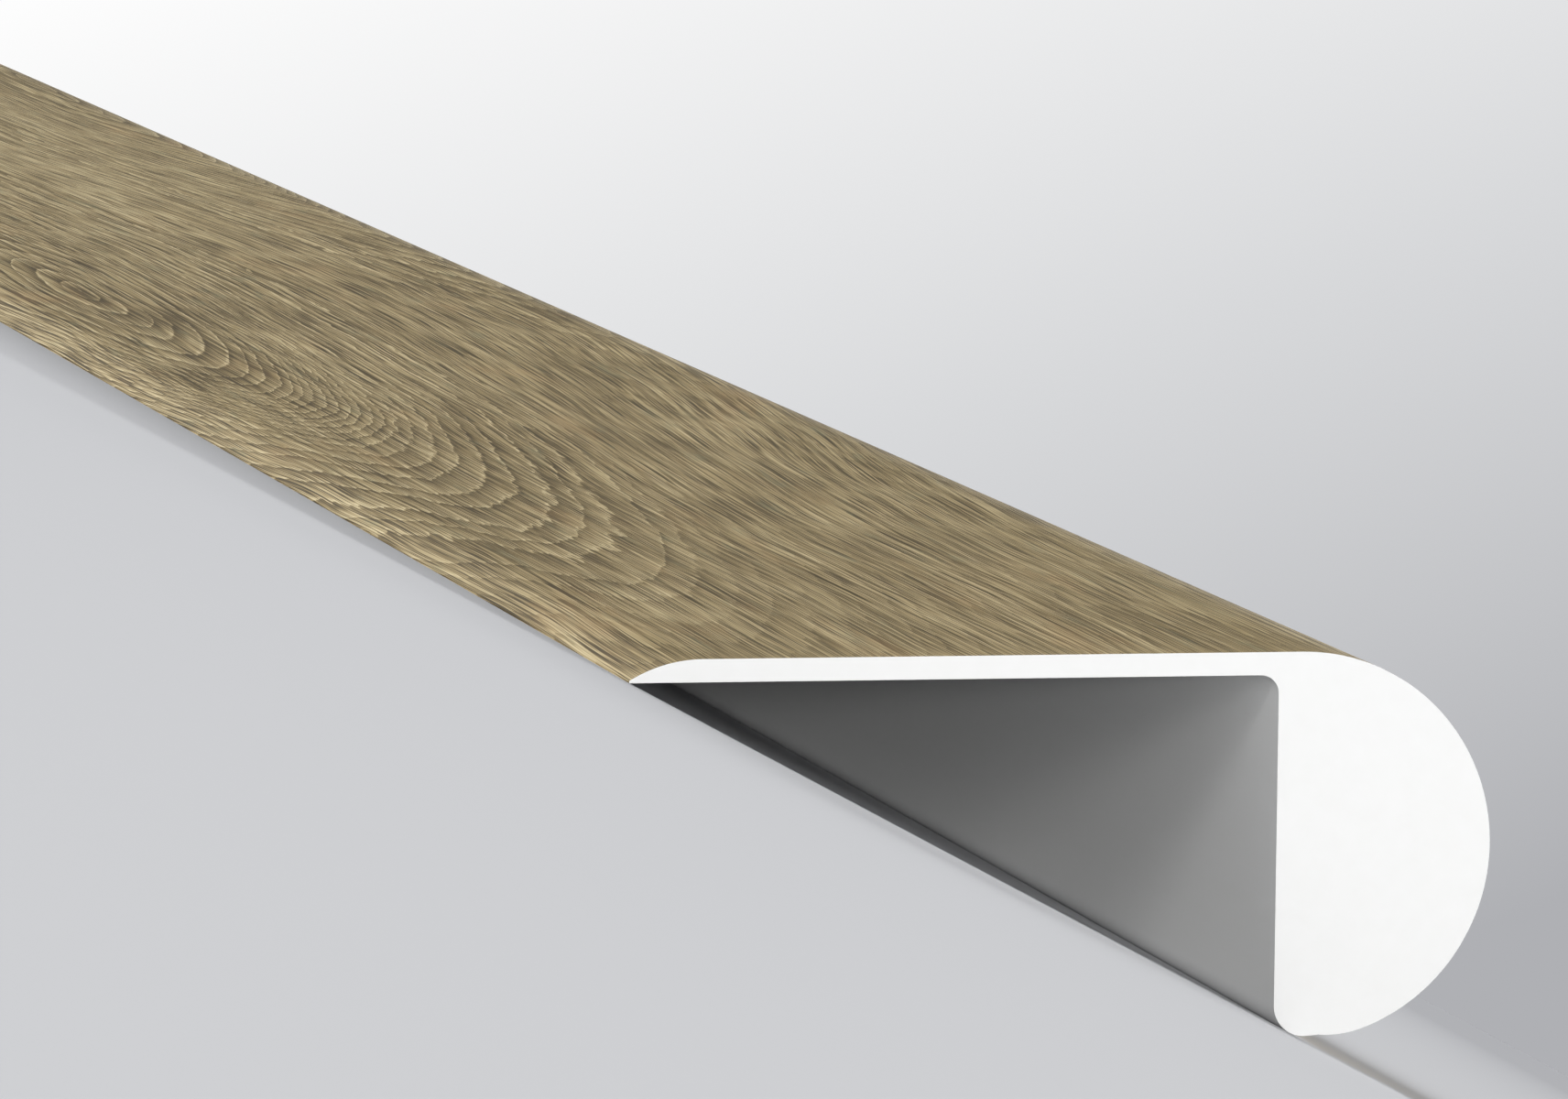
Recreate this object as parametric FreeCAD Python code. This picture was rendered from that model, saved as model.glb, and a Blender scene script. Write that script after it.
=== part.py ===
"""Overlap stair nose moulding: a full bullnose with a thin flange that laps over the floor covering.

The moulding is one long extruded length. Its section is drawn as it is fitted on a stair: the flange
level, the round nose to the right (+X) and the flat back of the nose upright, with the section's origin
at the centre of the round nose. A printed decor film is laminated over everything that shows on a
finished step: the lip, the top of the flange and the round of the nose.

Off the stair it lies on two edges, the tip of the flange and the lower back corner of the nose, so the
finished length is turned about its own long axis until both edges are level, and it is stored like that.
Row frame: +Y along the length, +X towards the nose, +Z up, origin under the middle of the box.
Every size is in millimetres.
"""
import FreeCAD
import Part
import math
import os

from FreeCAD import Placement, Rotation, Vector

# Driving dimensions
LENGTH = 2387.6            # full stock length, 94 inches
OVERALL_WIDTH = 57.15      # tip of the flange to the front of the nose, 2 1/4 inches
NOSE_DIAMETER = 25.4       # height of the nose, film included, 1 inch
NOSE_DEPTH = 14.3          # flat back of the nose to its front, film included
FLANGE_THICKNESS = 1.5     # film included
LIP_RADIUS = 9.3           # round that brings the top of the flange down to its tip
LIP_LAND = 0.15            # height of the blunt tip of the flange
INNER_FILLET_RADIUS = 1.2  # under the flange, where it meets the back of the nose
BACK_CORNER_RADIUS = 2.0   # lower back corner of the nose
FILM_THICKNESS = 0.3       # printed film on the core
BARE_FOOT_WIDTH = 1.0      # core left bare under the nose, from the corner to the film's lower edge

# Sizes that follow from them
nose_radius = NOSE_DIAMETER / 2
core_nose_radius = nose_radius - FILM_THICKNESS
back_x = nose_radius - NOSE_DEPTH
tip_x = nose_radius - OVERALL_WIDTH
underside_z = nose_radius - FLANGE_THICKNESS
lip_drop = FLANGE_THICKNESS - LIP_LAND
lip_run = math.sqrt(2 * LIP_RADIUS * lip_drop - lip_drop**2)
lip_top_x = tip_x + lip_run

# Directions in the section, as angles from +X towards +Z
UP = math.pi / 2
BACK = -math.pi


def polar(centre, radius, angle):
    """The point of a circle at an angle."""
    return (centre[0] + radius * math.cos(angle), centre[1] + radius * math.sin(angle))


def lip_round(top_z):
    """Centre, radius and last angle of a round that leaves a level top at lip_top_x for the tip.

    The film's face and the core under it both end at the upper edge of the tip, so the film thins out
    from its full thickness at the top of the lip to nothing at the tip.
    """
    drop = top_z - (underside_z + LIP_LAND)
    radius = (lip_run**2 + drop**2) / (2 * drop)
    return (lip_top_x, top_z - radius), radius, UP + math.asin(lip_run / radius)


def back_corner():
    """Centre of the lower back corner's round, and the angle on the nose where that round takes over."""
    x = back_x + BACK_CORNER_RADIUS
    reach = core_nose_radius - BACK_CORNER_RADIUS
    z = -math.sqrt(reach**2 - x**2)
    return (x, z), math.atan2(z, x)


class Outline:
    """A closed outline in the section plane, drawn edge by edge from a first point."""

    def __init__(self, start):
        self.start = start
        self.here = start
        self.edges = []

    def vector(self, point):
        return Vector(point[0], 0, point[1])

    def line_to(self, point):
        self.edges.append(Part.LineSegment(self.vector(self.here), self.vector(point)).toShape())
        self.here = point

    def arc_to(self, centre, radius, first_angle, last_angle):
        """An arc about centre. It begins where the outline has come to."""
        middle = polar(centre, radius, (first_angle + last_angle) / 2)
        end = polar(centre, radius, last_angle)
        arc = Part.Arc(self.vector(self.here), self.vector(middle), self.vector(end))
        self.edges.append(arc.toShape())
        self.here = end

    def extruded(self):
        """The outline as a solid of the full length, centred along Y."""
        solid = Part.Face(Part.Wire(self.edges)).extrude(Vector(0, LENGTH, 0))
        solid.translate(Vector(0, -LENGTH / 2, 0))
        return solid


def core():
    """White extruded core: flange, nose and the rounds between them, in one piece."""
    corner_centre, corner_angle = back_corner()
    lip_centre, lip_radius, tip_angle = lip_round(core_nose_radius)
    fillet_centre = (back_x - INNER_FILLET_RADIUS, underside_z - INNER_FILLET_RADIUS)

    outline = Outline((tip_x, underside_z))
    outline.line_to((fillet_centre[0], underside_z))
    outline.arc_to(fillet_centre, INNER_FILLET_RADIUS, UP, 0)
    outline.line_to((back_x, corner_centre[1]))
    outline.arc_to(corner_centre, BACK_CORNER_RADIUS, BACK, corner_angle)
    outline.arc_to((0, 0), core_nose_radius, corner_angle, UP)
    outline.line_to((lip_top_x, core_nose_radius))
    outline.arc_to(lip_centre, lip_radius, UP, tip_angle)
    outline.line_to(outline.start)
    return outline.extruded()


def decor_film():
    """Printed film on the core, from the tip of the flange over the top and round the nose."""
    corner_angle = back_corner()[1]
    foot_angle = corner_angle + BARE_FOOT_WIDTH / core_nose_radius
    face_centre, face_radius, face_tip_angle = lip_round(nose_radius)
    back_centre, back_radius, back_tip_angle = lip_round(core_nose_radius)

    outline = Outline((tip_x, underside_z + LIP_LAND))
    outline.arc_to(face_centre, face_radius, face_tip_angle, UP)
    outline.line_to((0, nose_radius))
    outline.arc_to((0, 0), nose_radius, UP, foot_angle)
    outline.line_to(polar((0, 0), core_nose_radius, foot_angle))
    outline.arc_to((0, 0), core_nose_radius, foot_angle, UP)
    outline.line_to((lip_top_x, core_nose_radius))
    outline.arc_to(back_centre, back_radius, UP, back_tip_angle)
    return outline.extruded()


def resting_placement():
    """Turns the section until the tip and the lower back corner stand level, and centres its box."""
    corner_centre = back_corner()[0]
    run = corner_centre[0] - tip_x
    fall = underside_z - corner_centre[1]
    tilt = math.atan2(fall, run) + math.asin(BACK_CORNER_RADIUS / math.hypot(run, fall))
    turn = Rotation(Vector(0, 1, 0), -math.degrees(tilt))
    floor_z = turn.multVec(Vector(tip_x, 0, underside_z)).z
    left_x = turn.multVec(Vector(tip_x, 0, underside_z + LIP_LAND)).x
    return Placement(Vector(-(left_x + nose_radius) / 2, 0, -floor_z), turn)


os.makedirs("parts", exist_ok=True)
at_rest = resting_placement()
for name, solid in (("core", core()), ("decor_film", decor_film())):
    solid.Placement = at_rest.multiply(solid.Placement)
    solid.exportStep(f"parts/{name}.step")
    print(name, "valid", solid.isValid(), "volume", round(solid.Volume, 1), "mm3", solid.BoundBox)
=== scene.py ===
"""Overlap stair nose: a length of white vinyl moulding, laminated with an oak print, on a pale floor.

The moulding is a straight run of one section, so a Geometry Nodes tree sweeps the section along the length.
The section is drawn in millimetres as it is fitted on a stair, with its origin at the centre of the round
nose, and the tree turns it down onto the two edges that it lies on. The frame is the CAD's: +Y along the
length, +X towards the nose, +Z up.
"""
import math

import bmesh
import bpy
from mathutils import Matrix, Vector


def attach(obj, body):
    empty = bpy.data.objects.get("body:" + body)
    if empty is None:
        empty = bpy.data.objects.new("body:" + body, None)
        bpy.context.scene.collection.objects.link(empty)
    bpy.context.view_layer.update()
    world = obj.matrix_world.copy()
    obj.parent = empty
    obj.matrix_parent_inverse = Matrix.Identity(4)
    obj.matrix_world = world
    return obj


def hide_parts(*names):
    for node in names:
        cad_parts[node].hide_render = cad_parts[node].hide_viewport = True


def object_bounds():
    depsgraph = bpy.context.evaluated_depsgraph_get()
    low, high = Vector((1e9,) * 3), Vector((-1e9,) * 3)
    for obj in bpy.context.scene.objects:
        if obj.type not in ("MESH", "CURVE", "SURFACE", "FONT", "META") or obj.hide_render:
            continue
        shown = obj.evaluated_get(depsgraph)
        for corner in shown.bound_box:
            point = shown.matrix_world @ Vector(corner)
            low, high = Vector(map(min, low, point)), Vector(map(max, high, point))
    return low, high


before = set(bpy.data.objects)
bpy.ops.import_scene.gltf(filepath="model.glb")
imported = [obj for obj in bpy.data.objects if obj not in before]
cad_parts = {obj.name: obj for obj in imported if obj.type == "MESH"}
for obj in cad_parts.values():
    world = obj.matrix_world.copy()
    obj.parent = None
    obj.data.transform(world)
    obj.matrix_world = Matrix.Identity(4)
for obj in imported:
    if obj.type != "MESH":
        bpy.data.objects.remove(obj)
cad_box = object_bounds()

MM = 0.001

# Camera
SENSOR = 36               # mm
LENS = 285.4              # mm
CAMERA_PLACE = (-208.632, -1968.080, 6.110)     # mm
CAMERA_AZIMUTH = -13.432  # degrees from the length, towards the flange
CAMERA_ELEVATION = -0.439
CAMERA_ROLL = 27.99       # level flange in the picture

# Section, mm
LENGTH = 2387.6
OVERALL_WIDTH = 57.15
NOSE_DIAMETER = 25.4
NOSE_DEPTH = 14.3
FLANGE_THICKNESS = 1.5
LIP_RADIUS = 9.3
LIP_LAND = 0.15
INNER_FILLET_RADIUS = 1.2
BACK_CORNER_RADIUS = 2.0
FILM_THICKNESS = 0.3
BARE_FOOT_WIDTH = 1.0
TIP_WRAP = 0.05            # film over the blunt tip
FOOT_EDGE = 0.03           # film's trimmed edge under the nose, pressed thin
FOOT_FEATHER = 3.0         # over which it thins
FACET = math.radians(2.5)  # turn from one facet of an arc to the next
SHARP = math.radians(20)   # turn above which an edge is shaded sharp
MERGE = 1e-7               # m between points that are one point

nose_radius = NOSE_DIAMETER / 2
core_nose_radius = nose_radius - FILM_THICKNESS
back_x = nose_radius - NOSE_DEPTH
tip_x = nose_radius - OVERALL_WIDTH
underside_z = nose_radius - FLANGE_THICKNESS
lip_drop = FLANGE_THICKNESS - LIP_LAND
lip_run = math.sqrt(2 * LIP_RADIUS * lip_drop - lip_drop**2)
lip_top_x = tip_x + lip_run
corner_x = back_x + BACK_CORNER_RADIUS
corner_z = -math.sqrt((core_nose_radius - BACK_CORNER_RADIUS)**2 - corner_x**2)
corner_angle = math.atan2(corner_z, corner_x)
foot_angle = corner_angle + BARE_FOOT_WIDTH / core_nose_radius
UP = math.pi / 2           # as an angle in the section, from +X towards the decor side

# Rest: the tip of the flange and the lower back corner stand on the floor
rest_run = corner_x - tip_x
rest_fall = underside_z - corner_z
tilt = math.atan2(rest_fall, rest_run) + math.asin(BACK_CORNER_RADIUS / math.hypot(rest_run, rest_fall))
rest_floor_z = tip_x * math.sin(tilt) + underside_z * math.cos(tilt)
rest_left_x = tip_x * math.cos(tilt) - (underside_z + LIP_LAND) * math.sin(tilt)


def linear(code):
    """Linear RGBA of an sRGB hex code."""
    parts = [int(code[i:i + 2], 16) / 255 for i in (1, 3, 5)]
    return tuple(c / 12.92 if c <= 0.04045 else ((c + 0.055) / 1.055)**2.4 for c in parts) + (1.0,)


def add(tree, kind, inputs=None, **settings):
    """Adds a node with its settings. An input is a value, or the output that it is linked to."""
    node = tree.nodes.new(kind)
    for name, value in settings.items():
        setattr(node, name, value)
    for socket, value in (inputs or {}).items():
        if isinstance(value, bpy.types.NodeSocket):
            tree.links.new(value, node.inputs[socket])
        else:
            node.inputs[socket].default_value = value
    return node


def set_stops(ramp, stops):
    """Gives a colour ramp its stops, each a place from 0 to 1 and a linear colour."""
    while len(ramp.elements) < len(stops):
        ramp.elements.new(0.5)
    for element, (place, colour) in zip(ramp.elements, stops):
        element.position = place
        element.color = colour


def new_material(name):
    """A material and its node tree."""
    material = bpy.data.materials.new(name)
    material.use_nodes = True
    return material, material.node_tree


def new_object(name, data):
    """An object in the scene."""
    made = bpy.data.objects.new(name, data)
    bpy.context.scene.collection.objects.link(made)
    return made


def arc(centre, radius, first, last):
    """Points of an arc, both ends included."""
    steps = max(2, math.ceil(abs(last - first) / FACET))
    return [(centre[0] + radius * math.cos(first + (last - first) * i / steps),
             centre[1] + radius * math.sin(first + (last - first) * i / steps)) for i in range(steps + 1)]


def lip_round(top_z):
    """Points of the round from a level top at lip_top_x down to the upper edge of the tip."""
    drop = top_z - (underside_z + LIP_LAND)
    radius = (lip_run**2 + drop**2) / (2 * drop)
    return arc((lip_top_x, top_z - radius), radius, UP, UP + math.asin(lip_run / radius))


def section_mesh(name, outline, across, printed):
    """The closed outline as a loop of edges in the XY plane.

    across says how far round from the tip each point lies, and printed is 1 where the print covers it.
    """
    mesh = bpy.data.meshes.new(name)
    count = len(outline)
    points = [(x * MM, z * MM, 0) for x, z in outline]
    mesh.from_pydata(points, [(i, (i + 1) % count) for i in range(count)], [])
    for label, values in (("across", across), ("printed", printed)):
        mesh.attributes.new(label, "FLOAT", "POINT").data.foreach_set("value", values)
    return mesh


def sweep_tree():
    """Geometry Nodes tree: the section swept along the length, capped, turned to rest and put in place."""
    tree = bpy.data.node_groups.new("moulding_sweep", "GeometryNodeTree")
    face = tree.interface
    face.new_socket("Section", in_out="INPUT", socket_type="NodeSocketGeometry")
    for label in ("Length", "Tilt", "Shift X", "Shift Z"):
        face.new_socket(label, in_out="INPUT", socket_type="NodeSocketFloat")
    for label in ("Face Material", "Cut Material"):
        face.new_socket(label, in_out="INPUT", socket_type="NodeSocketMaterial")
    face.new_socket("Moulding", in_out="OUTPUT", socket_type="NodeSocketGeometry")
    given = add(tree, "NodeGroupInput").outputs

    # Side walls from the outline's extruded edges, and two caps from the filled outline
    along = add(tree, "ShaderNodeCombineXYZ", {"Z": given["Length"]})
    walls = add(tree, "GeometryNodeExtrudeMesh", {"Mesh": given["Section"], "Offset": along.outputs[0]},
                mode="EDGES")
    outline = add(tree, "GeometryNodeMeshToCurve", {"Mesh": given["Section"]})
    cap = add(tree, "GeometryNodeFillCurve", {"Curve": outline.outputs["Curve"]}, mode="NGONS")
    near_cap = add(tree, "GeometryNodeTransform",
                   {"Geometry": cap.outputs["Mesh"], "Translation": along.outputs[0]})
    far_cap = add(tree, "GeometryNodeFlipFaces", {"Mesh": cap.outputs["Mesh"]})
    shell = add(tree, "GeometryNodeJoinGeometry")
    for piece in (walls, near_cap, far_cap):
        tree.links.new(piece.outputs[0], shell.inputs[0])

    # A face with print at all its corners takes the face material, and every other one the cut material
    cut = add(tree, "GeometryNodeSetMaterial",
              {"Geometry": shell.outputs[0], "Material": given["Cut Material"]})
    printed = add(tree, "GeometryNodeInputNamedAttribute", {"Name": "printed"}, data_type="FLOAT")
    on_face = add(tree, "GeometryNodeFieldOnDomain", {0: printed.outputs[0]}, domain="FACE",
                  data_type="FLOAT")
    whole = add(tree, "FunctionNodeCompare", {0: on_face.outputs[0], 1: 0.99}, operation="GREATER_THAN",
                data_type="FLOAT")
    faced = add(tree, "GeometryNodeSetMaterial", {"Geometry": cut.outputs[0], "Selection": whole.outputs[0],
                                                 "Material": given["Face Material"]})

    # The map, in millimetres: along from the near cut end, and across from the tip of the flange
    place = add(tree, "ShaderNodeSeparateXYZ", {0: add(tree, "GeometryNodeInputPosition").outputs[0]})
    run = add(tree, "ShaderNodeMath", {0: given["Length"], 1: place.outputs["Z"]}, operation="SUBTRACT")
    run_mm = add(tree, "ShaderNodeMath", {0: run.outputs[0], 1: 1 / MM}, operation="MULTIPLY")
    across = add(tree, "GeometryNodeInputNamedAttribute", {"Name": "across"}, data_type="FLOAT")
    chart = add(tree, "ShaderNodeCombineXYZ", {"X": run_mm.outputs[0], "Y": across.outputs[0]})
    mapped = add(tree, "GeometryNodeStoreNamedAttribute", data_type="FLOAT2", domain="CORNER")
    mapped.inputs["Name"].default_value = "UVMap"
    tree.links.new(faced.outputs[0], mapped.inputs["Geometry"])
    tree.links.new(chart.outputs[0], mapped.inputs["Value"])

    # From the drawing plane to the frame: the section's second axis up, then turned down to rest
    upright = add(tree, "GeometryNodeTransform",
                  {"Geometry": mapped.outputs[0], "Rotation": (math.pi / 2, 0, 0)})
    half = add(tree, "ShaderNodeMath", {0: given["Length"], 1: 0.5}, operation="MULTIPLY")
    turn = add(tree, "ShaderNodeMath", {0: given["Tilt"], 1: -1.0}, operation="MULTIPLY")
    leant = add(tree, "ShaderNodeCombineXYZ", {"Y": turn.outputs[0]})
    moved = add(tree, "ShaderNodeCombineXYZ",
                {"X": given["Shift X"], "Y": half.outputs[0], "Z": given["Shift Z"]})
    turned = add(tree, "GeometryNodeTransform", {"Geometry": upright.outputs[0], "Rotation": leant.outputs[0],
                                                 "Translation": moved.outputs[0]})
    smooth = add(tree, "GeometryNodeSetShadeSmooth", {"Geometry": turned.outputs[0], "Shade Smooth": True})
    real = add(tree, "GeometryNodeRealizeInstances", {"Geometry": smooth.outputs[0]})
    add(tree, "NodeGroupOutput", {"Moulding": real.outputs[0]})
    return tree


SWEEP = sweep_tree()


def swept(name, outline, across, printed, face_material, cut_material):
    """One piece of the moulding: its section swept by the tree, as a plain mesh with outward normals."""
    section = section_mesh(name + "_section", outline, across, printed)
    drawing = new_object(section.name, section)
    modifier = drawing.modifiers.new("sweep", "NODES")
    modifier.node_group = SWEEP
    values = {"Length": LENGTH * MM, "Tilt": tilt, "Shift X": -(rest_left_x + nose_radius) / 2 * MM,
              "Shift Z": -rest_floor_z * MM, "Face Material": face_material, "Cut Material": cut_material}
    for socket in SWEEP.interface.items_tree:
        if socket.name in values:
            modifier[socket.identifier] = values[socket.name]
    bpy.context.view_layer.update()
    ready = drawing.evaluated_get(bpy.context.evaluated_depsgraph_get())
    mesh = bpy.data.meshes.new_from_object(ready)
    bpy.data.objects.remove(drawing)
    mesh.name = name

    shell = bmesh.new()
    shell.from_mesh(mesh)
    bmesh.ops.remove_doubles(shell, verts=shell.verts, dist=MERGE)
    bmesh.ops.recalc_face_normals(shell, faces=shell.faces)
    # The CAD's box is that of its own facets. A finer arc would stand 0.02 mm out of it.
    for vertex in shell.verts:
        for axis in range(3):
            vertex.co[axis] = min(max(vertex.co[axis], cad_box[0][axis]), cad_box[1][axis])
    for edge in shell.edges:
        edge.smooth = len(edge.link_faces) == 2 and edge.calc_face_angle(0) < SHARP
    shell.to_mesh(mesh)
    shell.free()
    return new_object(name, mesh)


DIE_LINE = 1.2             # mm between the faint lines that the die leaves
DIE_LINE_RUN = 160.0       # mm that they run
DIE_LINE_DEPTH = 0.05      # mm


def white_vinyl_core():
    """Rigid PVC, extruded and sawn to length: an even soft white, a little duller along the die lines."""
    material, tree = new_material("white_vinyl_core")
    skin = tree.nodes["Principled BSDF"]
    skin.inputs["Roughness"].default_value = 0.5
    skin.inputs["IOR"].default_value = 1.53
    where = add(tree, "ShaderNodeTexCoord").outputs["Object"]
    across, along = 1 / (DIE_LINE * MM), 1 / (DIE_LINE_RUN * MM)
    drawn = add(tree, "ShaderNodeMapping", {"Vector": where, "Scale": (across, along, across)})
    lines = add(tree, "ShaderNodeTexNoise", {"Vector": drawn.outputs[0], "Scale": 1.0, "Detail": 2.0})
    tone = add(tree, "ShaderNodeMix", {0: lines.outputs["Fac"], 6: linear("#F6F6F4"), 7: linear("#F9F9F8")},
               data_type="RGBA")
    tree.links.new(tone.outputs[2], skin.inputs["Base Color"])
    bump = add(tree, "ShaderNodeBump",
               {"Height": lines.outputs["Fac"], "Strength": 0.05, "Distance": DIE_LINE_DEPTH * MM})
    tree.links.new(bump.outputs[0], skin.inputs["Normal"])
    return material


# The print lies on a chart in millimetres: along from the near cut end, and across from the tip.

# Flames, where rings close round a heart: mm along, mm across, change of a ring's radius per mm along,
# and how pointed the rings are
FLAMES = ((286.0, 9.0, 0.087, 0.07), (560.0, 47.0, 0.065, 0.25), (1010.0, 18.0, 0.075, 0.10),
          (1490.0, 40.0, 0.060, 0.20), (1990.0, 13.0, 0.080, 0.10))
FLAME_BLEND = 4.0          # mm of radius over which two flames run together
SWAY = (9.0, 2.0, 0.0)     # mm that the grain wanders along and across
SWAY_RUN = 80.0            # mm along over which it does
SWAY_SPAN = 14.0           # and mm across
SWAY_START = (3.1, 7.7, 0.0)            # picks the patch of noise that it follows
FAN = 0.30                 # share by which the fibres spread as they pass the first heart
FAN_FROM = 230.0           # mm along from that heart, where the spread begins
FAN_TO = 30.0              # and where it is full

# Growth rings
RING_PITCH = 1.05          # mm between growth rings away from a heart
TIGHT_RINGS = 8.0          # rings more, packed between the next two radii
TIGHT_FROM = 6.5
TIGHT_TO = 14.5
RING_STRAY = 1.5           # rings by which the spacing strays
STRAYS = 0.4               # strays per mm of radius
# Tone across a ring, from its early wood: share of the ring, tone
RING_SHADES = ((0.0, 0.40), (0.06, 0.0), (0.25, 0.25), (0.5, 0.42), (0.84, 0.5), (0.94, 0.80))
RING_MEAN = 0.42           # tone that counts as none
RING_TONE = 0.90           # weight of that tone in the wood's
RING_SHARES = (0.5, 1.1)   # share of it in the weakest year and in the strongest
RINGS_FADE = (19.5, 23.0)  # mm of radius over which the rings of a flame fade
RINGS_LEFT = 0.12          # share of them beyond
# Rings show most where they cross the grain: squareness from, squareness to, share at each
RINGS_SHOW = (0.3, 0.9, 0.35, 1.0)
# Steps that the fibres cut into a ring: mm long, mm wide, seed, mm of radius
RING_TEETH = ((14.0, 1.3, 11.0, 0.50), (5.0, 0.34, 5.0, 0.42))
TEETH_GROW = (8.0, 18.0, 0.35, 1.0)     # mm of radius from, to, and share of that depth at each

# Layers of the print: mm long, mm wide, detail, seed, noise from, noise to, tone at from, tone at to.
# The finest fibres of oak are 0.02 mm wide, too fine to show, so they are drawn four times as wide.
GRAIN_LAYERS = (
    (40, 9.0, 2, 6.6, 0.25, 0.75, -0.05, 0.05),       # clouds
    (160, 4.0, 2, 4.4, 0.25, 0.75, -0.05, 0.05),      # bands
    (180, 0.9, 3, 2.2, 0.25, 0.75, -0.06, 0.06),      # streaks
    (60, 0.40, 1, 15.0, 0.25, 0.75, -0.03, 0.03),     # fibres
    (40, 0.12, 1, 30.0, 0.38, 0.52, -0.23, 0.08),     # fine fibres
    (27, 0.075, 1, 41.0, 0.36, 0.50, -0.62, 0.23),    # finest fibres
    (26, 0.11, 1, 21.0, 0.55, 0.65, 0.0, 0.08),       # light flecks
)
# Layers of pores, in the same order, with how open a pore is in place of the tone
PORE_LAYERS = ((22, 0.10, 1, 9.2, 0.55, 0.61, 0.0, 1.0), (40, 0.13, 1, 1.3, 0.58, 0.65, 0.0, 1.0))
PORES_CLOSE = (0.0, 0.8, 1.0, 0.4)      # share of the ring from, to, and how open its pores are at each
PORE_TONE = -0.36          # tone of an open pore
PORE_DEPTH = 0.02          # mm
# Marks of the print: mm along, mm across, half length, half width, tone
MARKS = ((283, 8.7, 9, 1.0, -0.40), (288, 9.2, 24, 2.6, -0.10), (254, 12.0, 14, 1.8, -0.20),
         (155, 18.6, 20, 2.6, -0.22), (112, 14.0, 8, 1.6, -0.14), (204, 7.5, 9, 4.0, -0.14),
         (90, 25.5, 12, 1.4, -0.12), (150, 28.6, 22, 2.0, -0.12), (228, 30.5, 26, 2.0, -0.12),
         (318, 7.6, 12, 0.9, -0.22), (385, 28.5, 30, 2.4, 0.14), (450, 22.0, 150, 45.0, 0.13),
         (305, 5.5, 26, 1.2, 0.10))
MARK_EDGE = 1.3            # half sizes from its middle at which a mark has faded
# Colours of the wood, from its darkest tone to its lightest
WOOD_SHADES = ((0.0, "#483D26"), (0.25, "#6B5C3D"), (0.5, "#8A7A56"), (0.75, "#A89771"), (1.0, "#C9BA94"))
# Tints over the wood: mm long, mm wide, seed, noise from, noise to, colour, share at most
TINTS = ((18, 1.6, 13.0, 0.58, 0.76, "#7C7E64", 0.32), (50, 7.0, 17.0, 0.56, 0.75, "#A8875C", 0.20))


def drawn_out(tree, where, long, wide, seed, detail, roughness):
    """Noise with cells of long by wide millimetres, along the grain. The seed picks the patch of it."""
    place = add(tree, "ShaderNodeMapping",
                {"Vector": where, "Location": (seed, seed * 1.7, 0), "Scale": (1 / long, 1 / wide, 1)})
    noise = add(tree, "ShaderNodeTexNoise",
                {"Vector": place.outputs[0], "Scale": 1.0, "Detail": detail, "Roughness": roughness},
                noise_dimensions="2D")
    return noise.outputs["Fac"]


def layer_level(tree, where, layer):
    """What one layer of the print gives: a tone, or how open a pore is."""
    long, wide, detail, seed, *levels = layer
    noise = drawn_out(tree, where, long, wide, seed, detail, roughness=0.6)
    return add(tree, "ShaderNodeMapRange", dict(enumerate((noise, *levels))),
               interpolation_type="SMOOTHSTEP").outputs[0]


def wandering_grain(tree, chart):
    """The chart as the grain wanders over it."""
    slow = add(tree, "ShaderNodeMapping",
               {"Vector": chart, "Location": SWAY_START, "Scale": (1 / SWAY_RUN, 1 / SWAY_SPAN, 1)})
    sway = add(tree, "ShaderNodeTexNoise", {"Vector": slow.outputs[0], "Scale": 1.0}, noise_dimensions="2D")
    centred = add(tree, "ShaderNodeVectorMath", {0: sway.outputs["Color"], 1: (0.5, 0.5, 0.5)},
                  operation="SUBTRACT")
    return add(tree, "ShaderNodeVectorMath", {0: centred.outputs[0], 1: SWAY, 2: chart},
               operation="MULTIPLY_ADD").outputs[0]


def fanned_fibres(tree, grain):
    """The grain, with the fibres spread where they pass the first heart."""
    parts = add(tree, "ShaderNodeSeparateXYZ", {0: grain})
    past = add(tree, "ShaderNodeMath", {0: parts.outputs[0], 1: FLAMES[0][0]}, operation="SUBTRACT")
    gone = add(tree, "ShaderNodeMath", {0: past.outputs[0]}, operation="ABSOLUTE")
    near = add(tree, "ShaderNodeMapRange", {0: gone.outputs[0], 1: FAN_FROM, 2: FAN_TO, 3: 0.0, 4: -FAN},
               interpolation_type="SMOOTHSTEP")
    off = add(tree, "ShaderNodeMath", {0: parts.outputs[1], 1: FLAMES[0][1]}, operation="SUBTRACT")
    squeezed = add(tree, "ShaderNodeMath", {0: off.outputs[0], 1: near.outputs[0], 2: parts.outputs[1]},
                   operation="MULTIPLY_ADD")
    return add(tree, "ShaderNodeCombineXYZ", {0: parts.outputs[0], 1: squeezed.outputs[0]}).outputs[0]


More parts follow.
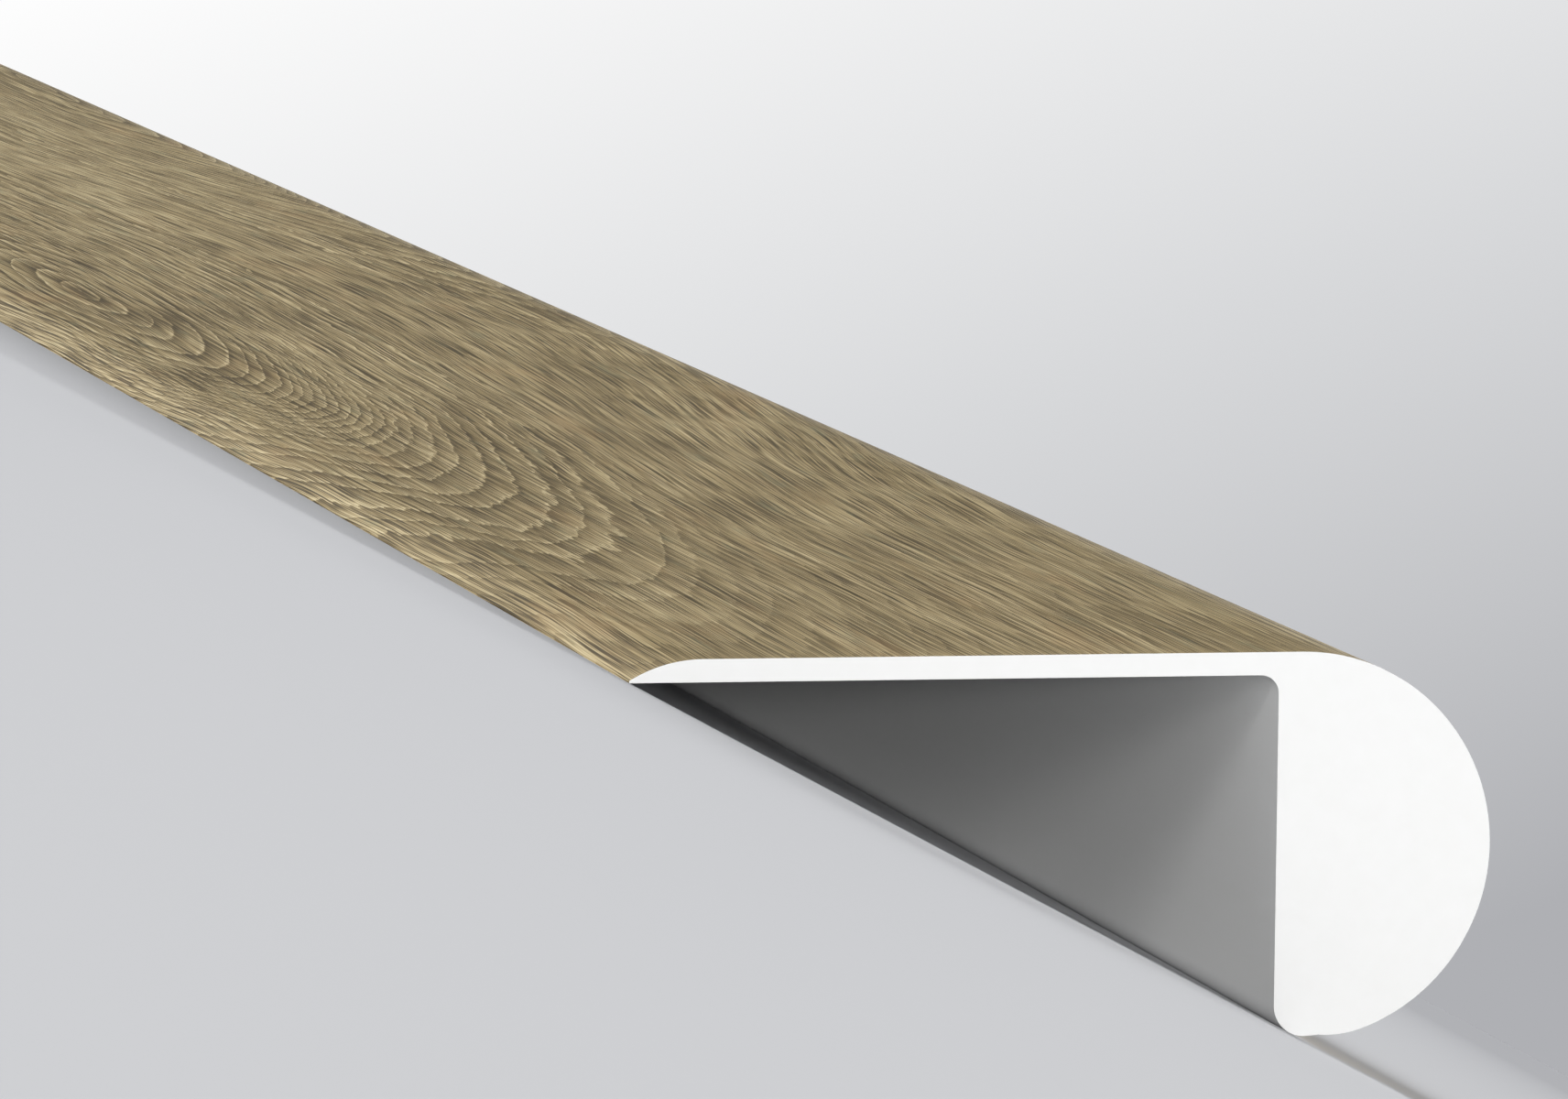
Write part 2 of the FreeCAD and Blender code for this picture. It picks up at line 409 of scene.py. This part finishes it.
def flames(tree, grain):
    """The radius in mm about the nearest heart, and how squarely the rings cross the grain there."""
    radius = None
    crossing = None
    for heart_along, heart_across, slope, point in FLAMES:
        about = add(tree, "ShaderNodeMapping",
                    {"Vector": grain, "Location": (-heart_along * slope, -heart_across, 0),
                     "Scale": (slope, 1, 0)}).outputs[0]
        span = add(tree, "ShaderNodeVectorMath", {0: about}, operation="ABSOLUTE").outputs[0]
        away = add(tree, "ShaderNodeVectorMath", {0: span}, operation="LENGTH").outputs["Value"]
        sharp = add(tree, "ShaderNodeVectorMath", {0: span, 1: (0, point, 0)}, operation="DOT_PRODUCT")
        reach = add(tree, "ShaderNodeMath", {0: away, 1: sharp.outputs["Value"]}, operation="ADD").outputs[0]
        way = add(tree, "ShaderNodeVectorMath", {0: span}, operation="NORMALIZE")
        square = add(tree, "ShaderNodeSeparateXYZ", {0: way.outputs[0]}).outputs[0]
        if radius is None:
            radius, crossing = reach, square
            continue
        radius = add(tree, "ShaderNodeMath", {0: radius, 1: reach, 2: FLAME_BLEND},
                     operation="SMOOTH_MIN").outputs[0]
        crossing = add(tree, "ShaderNodeMath", {0: crossing, 1: square}, operation="MAXIMUM").outputs[0]
    return radius, crossing


def growth_rings(tree, grain):
    """The tone that the rings give, about 0.5, and the place across a ring, from 0 to 1."""
    radius, crossing = flames(tree, grain)

    # The number of rings from the heart, with steps where the fibres cut them
    cut = radius
    bite = add(tree, "ShaderNodeMapRange", dict(enumerate((radius, *TEETH_GROW)))).outputs[0]
    for long, wide, seed, depth in RING_TEETH:
        tooth = drawn_out(tree, grain, long, wide, seed, detail=1.0, roughness=0.5)
        step = add(tree, "ShaderNodeMath", {0: bite, 1: depth}, operation="MULTIPLY")
        cut = add(tree, "ShaderNodeMath", {0: tooth, 1: step.outputs[0], 2: cut},
                  operation="MULTIPLY_ADD").outputs[0]
    even = add(tree, "ShaderNodeMath", {0: cut, 1: RING_PITCH}, operation="DIVIDE")
    packed = add(tree, "ShaderNodeMapRange", {0: cut, 1: TIGHT_FROM, 2: TIGHT_TO, 4: TIGHT_RINGS},
                 interpolation_type="SMOOTHSTEP")
    count = add(tree, "ShaderNodeMath", {0: even.outputs[0], 1: packed.outputs[0]}, operation="ADD")
    stray = add(tree, "ShaderNodeTexNoise", {"W": radius, "Scale": STRAYS, "Detail": 1.0},
                noise_dimensions="1D")
    count = add(tree, "ShaderNodeMath", {0: stray.outputs["Fac"], 1: RING_STRAY, 2: count.outputs[0]},
                operation="MULTIPLY_ADD").outputs[0]
    phase = add(tree, "ShaderNodeMath", {0: count}, operation="FRACT").outputs[0]
    year = add(tree, "ShaderNodeMath", {0: count}, operation="FLOOR").outputs[0]

    # The tone across a ring, weaker in some years, along the grain and far from a heart
    profile = add(tree, "ShaderNodeValToRGB", {0: phase})
    set_stops(profile.color_ramp, [(place, (value, value, value, 1)) for place, value in RING_SHADES])
    ring = add(tree, "ShaderNodeMath", {0: profile.outputs[0], 1: RING_MEAN}, operation="SUBTRACT")
    chance = add(tree, "ShaderNodeTexWhiteNoise", {"W": year}, noise_dimensions="1D").outputs["Value"]
    strong = add(tree, "ShaderNodeMapRange", {0: chance, 3: RING_SHARES[0], 4: RING_SHARES[1]})
    seen = add(tree, "ShaderNodeMapRange", dict(enumerate((crossing, *RINGS_SHOW))),
               interpolation_type="SMOOTHSTEP")
    weight = add(tree, "ShaderNodeMath", {0: strong.outputs[0], 1: seen.outputs[0]}, operation="MULTIPLY")
    fade = add(tree, "ShaderNodeMapRange", {0: radius, 1: RINGS_FADE[0], 2: RINGS_FADE[1], 3: RING_TONE,
                                           4: RINGS_LEFT * RING_TONE}, interpolation_type="SMOOTHSTEP")
    weight = add(tree, "ShaderNodeMath", {0: weight.outputs[0], 1: fade.outputs[0]}, operation="MULTIPLY")
    tone = add(tree, "ShaderNodeMath", {0: ring.outputs[0], 1: weight.outputs[0], 2: 0.5},
               operation="MULTIPLY_ADD").outputs[0]
    return tone, phase


def open_pores(tree, fibre, phase):
    """How open the pores are, from 0 to 1. They are widest in the early wood of each ring."""
    short, long = (layer_level(tree, fibre, layer) for layer in PORE_LAYERS)
    either = add(tree, "ShaderNodeMath", {0: short, 1: long}, operation="MAXIMUM")
    early = add(tree, "ShaderNodeMapRange", dict(enumerate((phase, *PORES_CLOSE))))
    return add(tree, "ShaderNodeMath", {0: either.outputs[0], 1: early.outputs[0]},
               operation="MULTIPLY").outputs[0]


def with_marks(tree, grain, tone):
    """The tone with the knot and the darker and lighter marks of the print."""
    for along, across, half_length, half_width, shift in MARKS:
        about = add(tree, "ShaderNodeMapping",
                    {"Vector": grain, "Location": (-along / half_length, -across / half_width, 0),
                     "Scale": (1 / half_length, 1 / half_width, 0)})
        away = add(tree, "ShaderNodeVectorMath", {0: about.outputs[0]}, operation="LENGTH")
        mark = add(tree, "ShaderNodeMapRange",
                   {0: away.outputs["Value"], 1: 0.0, 2: MARK_EDGE, 3: shift, 4: 0.0},
                   interpolation_type="SMOOTHSTEP")
        tone = add(tree, "ShaderNodeMath", {0: tone, 1: mark.outputs[0]}, operation="ADD").outputs[0]
    return tone


def wood_colour(tree, fibre, tone):
    """The colour of a tone, with the greenish and brownish tints over it."""
    wood = add(tree, "ShaderNodeValToRGB", {0: tone})
    set_stops(wood.color_ramp, [(place, linear(code)) for place, code in WOOD_SHADES])
    colour = wood.outputs[0]
    for long, wide, seed, low, high, code, most in TINTS:
        noise = drawn_out(tree, fibre, long, wide, seed, detail=4.0, roughness=0.65)
        share = add(tree, "ShaderNodeMapRange", {0: noise, 1: low, 2: high, 4: most},
                    interpolation_type="SMOOTHSTEP")
        colour = add(tree, "ShaderNodeMix", {0: share.outputs[0], 6: colour, 7: linear(code)},
                     data_type="RGBA").outputs[2]
    return colour


def oak_print():
    """Taupe oak printed on vinyl film, with a matt wear layer: flames round a knot, pores, fine streaks."""
    material, tree = new_material("oak_print_vinyl_film")
    skin = tree.nodes["Principled BSDF"]
    skin.inputs["Roughness"].default_value = 0.65
    skin.inputs["IOR"].default_value = 1.5
    skin.inputs["Specular IOR Level"].default_value = 0.15
    chart = add(tree, "ShaderNodeUVMap", uv_map="UVMap").outputs[0]
    grain = wandering_grain(tree, chart)
    fibre = fanned_fibres(tree, grain)
    tone, phase = growth_rings(tree, grain)
    for layer in GRAIN_LAYERS:
        level = layer_level(tree, fibre, layer)
        tone = add(tree, "ShaderNodeMath", {0: tone, 1: level}, operation="ADD").outputs[0]
    pores = open_pores(tree, fibre, phase)
    tone = add(tree, "ShaderNodeMath", {0: pores, 1: PORE_TONE, 2: tone}, operation="MULTIPLY_ADD").outputs[0]
    tone = with_marks(tree, grain, tone)
    tree.links.new(wood_colour(tree, fibre, tone), skin.inputs["Base Color"])

    relief = add(tree, "ShaderNodeMath", {0: 1.0, 1: pores}, operation="SUBTRACT")
    bump = add(tree, "ShaderNodeBump",
               {"Height": relief.outputs[0], "Strength": 0.3, "Distance": PORE_DEPTH * MM})
    tree.links.new(bump.outputs[0], skin.inputs["Normal"])
    return material


def stage_material(name, axis, shades, shown):
    """Matt paper, its colour running along axis by metres as a painted falloff of light and shade. Where
    shown, it glows, so the camera sees it as written.
    """
    material, tree = new_material(name)
    tree.nodes.remove(tree.nodes["Principled BSDF"])
    where = add(tree, "ShaderNodeTexCoord").outputs["Object"]
    run = add(tree, "ShaderNodeVectorMath", {0: where, 1: axis}, operation="DOT_PRODUCT").outputs["Value"]
    first, last = shades[0][0], shades[-1][0]
    spot = add(tree, "ShaderNodeMapRange", {0: run, 1: first, 2: last}).outputs[0]
    # Painted light and shade: the paper's colour falls off along the axis as light would.
    colours = add(tree, "ShaderNodeValToRGB", {0: spot})
    set_stops(colours.color_ramp,
              [((metres - first) / (last - first), linear(code)) for metres, code in shades])
    matt = add(tree, "ShaderNodeBsdfDiffuse", {"Color": colours.outputs[0]})
    surface = matt.outputs[0]
    # Where shown, the paper glows with its painted colour for the camera, though it is no lamp.
    if shown:
        path = add(tree, "ShaderNodeLightPath").outputs
        seen = path["Is Camera Ray"]
        for ray in ("Is Glossy Ray", "Is Transmission Ray"):
            seen = add(tree, "ShaderNodeMath", {0: seen, 1: path[ray]}, operation="ADD").outputs[0]
        glow = add(tree, "ShaderNodeEmission", {"Color": colours.outputs[0], "Strength": 1.0})
        surface = add(tree, "ShaderNodeMixShader", {0: seen, 1: surface, 2: glow.outputs[0]}).outputs[0]
    tree.links.new(surface, tree.nodes["Material Output"].inputs["Surface"])
    return material


def sheet(name, corners, material):
    """One flat sheet of the stage."""
    mesh = bpy.data.meshes.new(name)
    mesh.from_pydata(corners, [], [(0, 1, 2, 3)])
    mesh.materials.append(material)
    return new_object(name, mesh)


camera = new_object("camera", bpy.data.cameras.new("camera"))
bpy.context.scene.camera = camera
camera.data.lens = LENS
camera.data.sensor_width = SENSOR
camera.data.clip_start = 0.02
camera.data.clip_end = 200
side, rise, roll = (math.radians(a) for a in (CAMERA_AZIMUTH, CAMERA_ELEVATION, CAMERA_ROLL))
turn = Matrix.Rotation(side, 4, "Z") @ Matrix.Rotation(math.pi / 2 - rise, 4, "X")
camera.matrix_world = Matrix.Translation(Vector(CAMERA_PLACE) * MM) @ turn @ Matrix.Rotation(roll, 4, "Z")

# Core: one outline of arcs and lines, from the lower edge of the tip
vinyl = white_vinyl_core()
fillet_centre = (back_x - INNER_FILLET_RADIUS, underside_z - INNER_FILLET_RADIUS)
core_outline = [(tip_x + TIP_WRAP, underside_z)]
core_outline += arc(fillet_centre, INNER_FILLET_RADIUS, UP, 0)
core_outline += arc((corner_x, corner_z), BACK_CORNER_RADIUS, -math.pi, corner_angle)
core_outline += arc((0, 0), core_nose_radius, corner_angle, UP)[1:]
core_outline += lip_round(core_nose_radius)[:-1]
core_outline += [(tip_x + TIP_WRAP, underside_z + LIP_LAND)]
none = [0.0] * len(core_outline)
core = swept("core_moulding", core_outline, none, none, vinyl, vinyl)

# Film: from the foot of the tip out over the lip, the flange and the nose, and back along the core
nose_face = []
for x, z in arc((0, 0), nose_radius, UP, foot_angle):
    left = (math.atan2(z, x) - foot_angle) * nose_radius
    pressed = 1 - min(1.0, max(0.0, left) / FOOT_FEATHER)
    scale = (nose_radius - (FILM_THICKNESS - FOOT_EDGE) * pressed**2) / nose_radius
    nose_face.append((x * scale, z * scale))
face_points = [(tip_x, underside_z)] + lip_round(nose_radius)[::-1] + nose_face
back_points = arc((0, 0), core_nose_radius, foot_angle, UP) + lip_round(core_nose_radius)[:-1]
back_points += [(tip_x + TIP_WRAP, underside_z + LIP_LAND), (tip_x + TIP_WRAP, underside_z)]
across = [0.0]
for before, after in zip(face_points, face_points[1:]):
    across.append(across[-1] + math.dist(before, after))
across += [0.0] * len(back_points)
printed = [1.0] * len(face_points) + [0.0] * len(back_points)
film = swept("oak_film", face_points + back_points, across, printed, oak_print(), vinyl)

for piece, node in ((core, "core"), (film, "decor_film")):
    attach(piece, "root")
    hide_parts(node)

# Stage: pale paper with painted shade, as light falling off: the floor is painted darker towards the nose
# side.
# Its painted tones are in metres along the axis of each sheet, and its corners are in metres.
FLOOR_AXIS = (1, 0, 0)
# Painted shade: the floor is painted darker towards the nose side, as light falling off.
FLOOR_PAINTED_SHADE = ((-0.9, "#E4E5E7"), (-0.13, "#D1D2D5"), (1.2, "#B6B7BB"))
FLOOR_CORNERS = ((-45, -45, 0), (45, -45, 0), (45, 34, 0), (-45, 34, 0))
BACKDROP_AXIS = (-1, 0, 0.92)
# Painted light: the backdrop is painted from white, high on the flange side, down to grey low on the nose
# side, as light falling off, and glows with it.
BACKDROP_PAINTED_LIGHT = ((-10.0, "#AFB0B4"), (-7.35, "#D8D9DB"), (-4.7, "#FDFDFD"))
BACKDROP_CORNERS = ((-20, 32, -0.5), (40, 32, -0.5), (40, 32, 12), (-20, 32, 12))
floor = sheet("floor", FLOOR_CORNERS, stage_material("floor_paper_painted_shade", FLOOR_AXIS, FLOOR_PAINTED_SHADE, False))
backdrop = sheet("backdrop", BACKDROP_CORNERS,
                 stage_material("backdrop_paper_painted_light", BACKDROP_AXIS, BACKDROP_PAINTED_LIGHT, True))
backdrop.visible_shadow = False
backdrop.visible_diffuse = False

# Light, at a plain level: 1 is what shows a colour as it is written
WORLD_LEVEL = 0.05
# Wide lamps far away: degrees from the front, degrees up, degrees wide, level
SKY_LAMPS = (("flange_side", -122, 26, 30, 1.09), ("nose_side", 100, 12, 20, 1.0),
             ("behind", 150, 10, 16, 1.1))
# Low strips, far in front of the near end, that shine under the flange: degrees from the front, m wide,
# m high, level
LOW_STRIPS = (("strip_front", -12, 0.42, 0.20, 0.49), ("strip_left", -22, 1.0, 0.50, 0.19),
              ("strip_side", -45, 1.6, 0.80, 0.12))
STRIP_DISTANCE = 6.0       # m
STRIP_FOOT = 0.01          # m above the floor
world = bpy.data.worlds.new("studio")
bpy.context.scene.world = world
world.use_nodes = True
world.node_tree.nodes["Background"].inputs["Color"].default_value = (1, 1, 1, 1)
world.node_tree.nodes["Background"].inputs["Strength"].default_value = WORLD_LEVEL
for name, azimuth, elevation, width, level in SKY_LAMPS:
    sun = new_object(name, bpy.data.lights.new(name, "SUN"))
    sun.data.energy = math.pi * level
    sun.data.angle = math.radians(width)
    sun.rotation_euler = (math.radians(90 - elevation), 0, math.radians(azimuth))
for name, azimuth, width, height, level in LOW_STRIPS:
    strip = new_object(name, bpy.data.lights.new(name, "AREA"))
    strip.data.shape = "RECTANGLE"
    strip.data.size = width
    strip.data.size_y = height
    strip.data.energy = level * (math.pi * STRIP_DISTANCE)**2
    strip.visible_camera = False
    turn = math.radians(azimuth)
    strip.location = (STRIP_DISTANCE * math.sin(turn), -LENGTH / 2 * MM - STRIP_DISTANCE * math.cos(turn),
                      height / 2 + STRIP_FOOT)
    strip.rotation_euler = (math.radians(90), 0, turn)

bpy.context.scene.view_settings.view_transform = "Standard"
